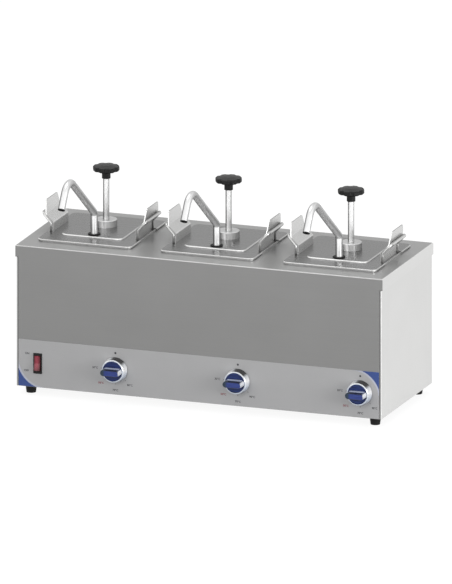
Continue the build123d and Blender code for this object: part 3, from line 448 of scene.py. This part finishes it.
PRINT_T = 0.08 * MM              # thickness of a printed patch, sunk by a quarter into the film
CORNER_REACH = 48 * MM           # centre of the corner's arcs from both edges of the overlay
BORDER_W = 3 * MM
FILM_CORNER_R = 1.0 * MM
LABEL_R = 36 * MM                # dial's numbers from its axis
TICK_R0, TICK_R1 = 24 * MM, 26 * MM
TICK_HALF_W = 0.35 * MM
DOT_R, DOT_PLACE_R = 1.8 * MM, 28 * MM
LETTER_H = 3.4 * MM
CAPITAL_SHARE = 0.7              # height of a capital in the font's size
LETTER_STROKE = 0.12 * MM        # thickens the letters' strokes on each side
ON_PLACE = (18.7 * MM, 56.7 * MM)        # left of the switch's middle, above the film's foot
OFF_PLACE = (20.2 * MM, 26.9 * MM)
SCALE = (("30", 180), ("50", 225), ("70", 270), ("90", 315))    # number and its angle

film_low, film_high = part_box("control_overlay")


def add_print(name, mesh, ink):
    """Put a printed mesh in the scene, on the case."""
    coat(mesh, ink)
    patch = bpy.data.objects.new(name, mesh)
    bpy.context.scene.collection.objects.link(patch)
    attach(patch, "case")


def mend(mesh, merge=False, outward=False):
    """Join doubled points, and turn the faces outward."""
    bm = bmesh.new()
    bm.from_mesh(mesh)
    if merge:
        bmesh.ops.remove_doubles(bm, verts=bm.verts, dist=MERGE_DISTANCE)
    if outward:
        bmesh.ops.recalc_face_normals(bm, faces=bm.faces)
    bm.to_mesh(mesh)
    bm.free()


def mesh_of(curve):
    """Mesh of a curve, which is removed."""
    shape = bpy.data.objects.new(curve.name, curve)
    mesh = bpy.data.meshes.new_from_object(shape)
    bpy.data.objects.remove(shape)
    bpy.data.curves.remove(curve)
    return mesh


def printed(name, outline, ink):
    """Thin closed patch on the overlay, from its outline in (x, z)."""
    front = film_low.y - 0.75 * PRINT_T
    count = len(outline)
    points = [(x, y, z) for y in (front, front + PRINT_T) for x, z in outline]
    faces = [range(count), range(count, 2 * count)]
    faces += [(k, (k + 1) % count, (k + 1) % count + count, k + count) for k in range(count)]
    mesh = bpy.data.meshes.new(name)
    mesh.from_pydata(points, [], faces)
    mend(mesh, outward=True)
    add_print(name, mesh, ink)


def arc(cx, cz, radius, start, end, steps):
    """Points of an arc, angles in degrees, counter-clockwise from +X where end is the larger."""
    angles = [math.radians(start + (end - start) * k / steps) for k in range(steps + 1)]
    return [(cx + radius * math.cos(a), cz + radius * math.sin(a)) for a in angles]


def corner_print(side, corner, sx, sz):
    """Blue corner with a pale border, drawn for the lower left and turned by the signs."""
    outer = CORNER_REACH + BORDER_W
    slip = math.degrees(math.acos(CORNER_REACH / outer))
    centre = CORNER_REACH, CORNER_REACH
    tip = arc(FILM_CORNER_R, FILM_CORNER_R, FILM_CORNER_R, 180, 270, 4)
    blue = tip + arc(*centre, outer, 270 - slip, 180 + slip, 24)
    border = arc(*centre, outer, 180 + slip, 270 - slip, 24)
    border += arc(*centre, CORNER_REACH, 270, 180, 30)
    for part, outline, ink in (("corner", blue, "print_blue"), ("border", border, "print_border")):
        placed = [(corner.x + sx * x, corner.z + sz * z) for x, z in outline]
        printed(f"print_{part}_{side}", placed, ink)


def label(name, text, x, z, ink="print_ink"):
    """Number or word as a thin solid on the overlay, centred on x and z."""
    curve = bpy.data.curves.new(name, "FONT")
    curve.body = text
    curve.size = LETTER_H / CAPITAL_SHARE
    curve.align_x = "CENTER"
    curve.align_y = "CENTER"
    curve.extrude = PRINT_T / 2
    curve.offset = LETTER_STROKE
    curve.resolution_u = 3
    mesh = mesh_of(curve)
    mend(mesh, merge=True)
    place = Matrix.Translation((x, film_low.y - PRINT_T / 4, z))
    mesh.transform(place @ Matrix.Rotation(math.radians(90), 4, "X"))
    add_print(name, mesh, ink)


corner_print("left", Vector((film_low.x, 0, film_low.z)), 1, 1)
corner_print("right", Vector((film_high.x, 0, film_high.z)), -1, -1)

for k in STATIONS:
    axis_x, _, axis_z = middle(f"dial_ring_{k}")
    printed(f"print_dot_{k}", arc(axis_x, axis_z + DOT_PLACE_R, DOT_R, 0, 345, 23), "print_ink")
    for number, angle in SCALE:
        turn = math.radians(angle)
        ray = Vector((math.cos(turn), math.sin(turn)))
        ink = "print_red" if number == "50" else "print_ink"
        label(f"print_scale_{k}_{number}", number + "\u00b0C",
              axis_x + LABEL_R * ray.x, axis_z + LABEL_R * ray.y, ink)
        across = Vector((-ray.y, ray.x)) * TICK_HALF_W
        ends = [(TICK_R0, -1), (TICK_R1, -1), (TICK_R1, 1), (TICK_R0, 1)]
        corners = [(axis_x + r * ray.x + s * across.x, axis_z + r * ray.y + s * across.y)
                   for r, s in ends]
        printed(f"print_tick_{k}_{number}", corners, "print_ink")

switch_x = middle("switch_bezel")[0]
for word, (left, above) in (("ON", ON_PLACE), ("OFF", OFF_PLACE)):
    label(f"print_{word.lower()}", word, switch_x - left, film_low.z + above)


# ---------------------------------------------------------------- bails at the pans' handles

BAIL_R = 2.0 * MM
BAIL_BEND_R = 6 * MM
BAIL_Y = 37 * MM                 # legs on either side of the handle's middle
BAIL_LEG_X = 76.6 * MM           # legs from the middle of the well, on the pan's rim
BAIL_RISE = 15.3 * MM            # upright part of each leg, over the rim
BAIL_SINK = 0.5 * MM             # legs into the rim
RIM_RISE = 3 * MM                # pan's rim over the deck
HEM_R = 3 * MM                   # rolled edge that the bail runs through


def rounded(points, radius, steps=6):
    """Path through the points, with each inner corner turned into an arc."""
    path = [points[0]]
    for before, corner, after in zip(points, points[1:], points[2:]):
        first, second = (before - corner).normalized(), (after - corner).normalized()
        half = first.angle(second) / 2
        reach = radius / math.tan(half)
        centre = corner + (first + second).normalized() * (radius / math.sin(half))
        start = (corner + first * reach - centre).normalized()
        end = (corner + second * reach - centre).normalized()
        path += [centre + radius * start.slerp(end, k / steps) for k in range(steps + 1)]
    return path + [points[-1]]


def bent_rod(name, points, radius, body, material):
    """Round rod through the points, with flat ends, that rides a body."""
    curve = bpy.data.curves.new(name, "CURVE")
    curve.dimensions = "3D"
    curve.bevel_depth = radius
    curve.bevel_resolution = 4
    curve.use_fill_caps = True
    spline = curve.splines.new("POLY")
    spline.points.add(len(points) - 1)
    for target, point in zip(spline.points, points):
        target.co = (*point, 1.0)
    mesh = mesh_of(curve)
    mend(mesh, merge=True, outward=True)
    mesh.polygons.foreach_set("use_smooth", [len(face.vertices) == 4 for face in mesh.polygons])
    coat(mesh, material)
    rod = bpy.data.objects.new(name, mesh)
    bpy.context.scene.collection.objects.link(rod)
    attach(rod, body)
    return rod


rim_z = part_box("top_front_panel")[1].z + RIM_RISE
for k in STATIONS:
    well_x, well_y, _ = middle(f"pan_{k}")
    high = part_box(f"pan_{k}")[1]
    leg = [(BAIL_LEG_X, rim_z - BAIL_SINK), (BAIL_LEG_X, rim_z + BAIL_RISE),
           (high.x - well_x - HEM_R, high.z - HEM_R)]
    track = [(x, -BAIL_Y, z) for x, z in leg] + [(x, BAIL_Y, z) for x, z in reversed(leg)]
    for side, sign in (("left", -1), ("right", 1)):
        points = [Vector((well_x + sign * x, well_y + y, z)) for x, y, z in track]
        bent_rod(f"handle_bail_{side}_{k}", rounded(points, BAIL_BEND_R), BAIL_R,
                 f"pan_unit_{k}", "bail_steel")


# ---------------------------------------------------------------- pump springs

SPRING_WIRE_R = 1 * MM
SPRING_TURNS = 6
SPRING_POINTS = 24               # in one turn of the coil

for k in STATIONS:
    low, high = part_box(f"pump_spring_{k}")
    coil_r = (high.x - low.x) / 2 - SPRING_WIRE_R
    foot = Vector((*middle(f"pump_spring_{k}")[:2], low.z + SPRING_WIRE_R))
    rise = high.z - low.z - 2 * SPRING_WIRE_R
    helix = []
    for step in range(SPRING_TURNS * SPRING_POINTS + 1):
        turn = 2 * math.pi * step / SPRING_POINTS
        height = rise * step / (SPRING_TURNS * SPRING_POINTS)
        helix.append(foot + Vector((coil_r * math.cos(turn), coil_r * math.sin(turn), height)))
    coil = bent_rod(f"coil_{k}", helix, SPRING_WIRE_R,
                    f"lid_unit_{k}", "spring_steel")
    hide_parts(f"pump_spring_{k}")
    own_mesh(coil)


# ---------------------------------------------------------------- surroundings

def is_seen(tree):
    """Factor that is 1 for camera, glossy and transmission rays and 0 for the others."""
    path = tree.nodes.new("ShaderNodeLightPath")
    seen = path.outputs["Is Camera Ray"]
    for kind in ("Is Glossy Ray", "Is Transmission Ray"):
        either = tree.nodes.new("ShaderNodeMath")
        either.operation = "MAXIMUM"
        tree.links.new(seen, either.inputs[0])
        tree.links.new(path.outputs[kind], either.inputs[1])
        seen = either.outputs[0]
    return seen


def make_world(diffuse_strength):
    """White surroundings that light the object at a given strength and are seen at 1."""
    world = bpy.data.worlds.new("studio")
    bpy.context.scene.world = world
    world.use_nodes = True
    tree = world.node_tree
    background = tree.nodes["Background"]
    background.inputs["Color"].default_value = (1.0, 1.0, 1.0, 1.0)
    strength = tree.nodes.new("ShaderNodeMapRange")
    strength.inputs["To Min"].default_value = diffuse_strength
    strength.inputs["To Max"].default_value = 1.0
    tree.links.new(is_seen(tree), strength.inputs["Value"])
    tree.links.new(strength.outputs["Result"], background.inputs["Strength"])


def make_floor(half, grey, glow):
    """Pale floor: where it is seen, part of its white is its own, the rest comes from the light."""
    mesh = bpy.data.meshes.new("floor")
    corners = [(-half, -half, 0), (half, -half, 0), (half, half, 0), (-half, half, 0)]
    mesh.from_pydata(corners, [], [(0, 1, 2, 3)])
    floor = bpy.data.objects.new("floor", mesh)
    bpy.context.scene.collection.objects.link(floor)
    shader = Shader("floor")
    inputs = shader.surface.inputs
    inputs["Base Color"].default_value = (grey, grey, grey, 1.0)
    inputs["Roughness"].default_value = 0.9
    inputs["Specular IOR Level"].default_value = 0.0
    inputs["Emission Color"].default_value = (1.0, 1.0, 1.0, 1.0)
    shader.link(shader.times(is_seen(shader.tree), glow), inputs["Emission Strength"])
    mesh.materials.append(shader.material)


def make_lamp(name, place, target, size, watts):
    """Square area lamp of the given edge, turned towards a target."""
    data = bpy.data.lights.new(name, "AREA")
    data.shape = "SQUARE"
    data.size = size
    data.energy = watts
    lamp = bpy.data.objects.new(name, data)
    lamp.location = place
    lamp.rotation_euler = (Vector(target) - Vector(place)).to_track_quat("-Z", "Y").to_euler()
    bpy.context.scene.collection.objects.link(lamp)


bpy.context.scene.view_settings.view_transform = "Standard"
make_world(diffuse_strength=0.75)
make_floor(half=7.0, grey=0.165, glow=0.885)
make_lamp("lamp_front", (-0.5, -2.6, 0.9), (0.0, 0.0, 0.1), 1.8, 23.0)
make_lamp("lamp_right", (2.4, -0.8, 0.35), (0.2, 0.0, 0.1), 1.4, 43.0)
make_lamp("lamp_top", (-0.4, 0.3, 2.6), (0.0, 0.0, 0.2), 1.6, 16.0)
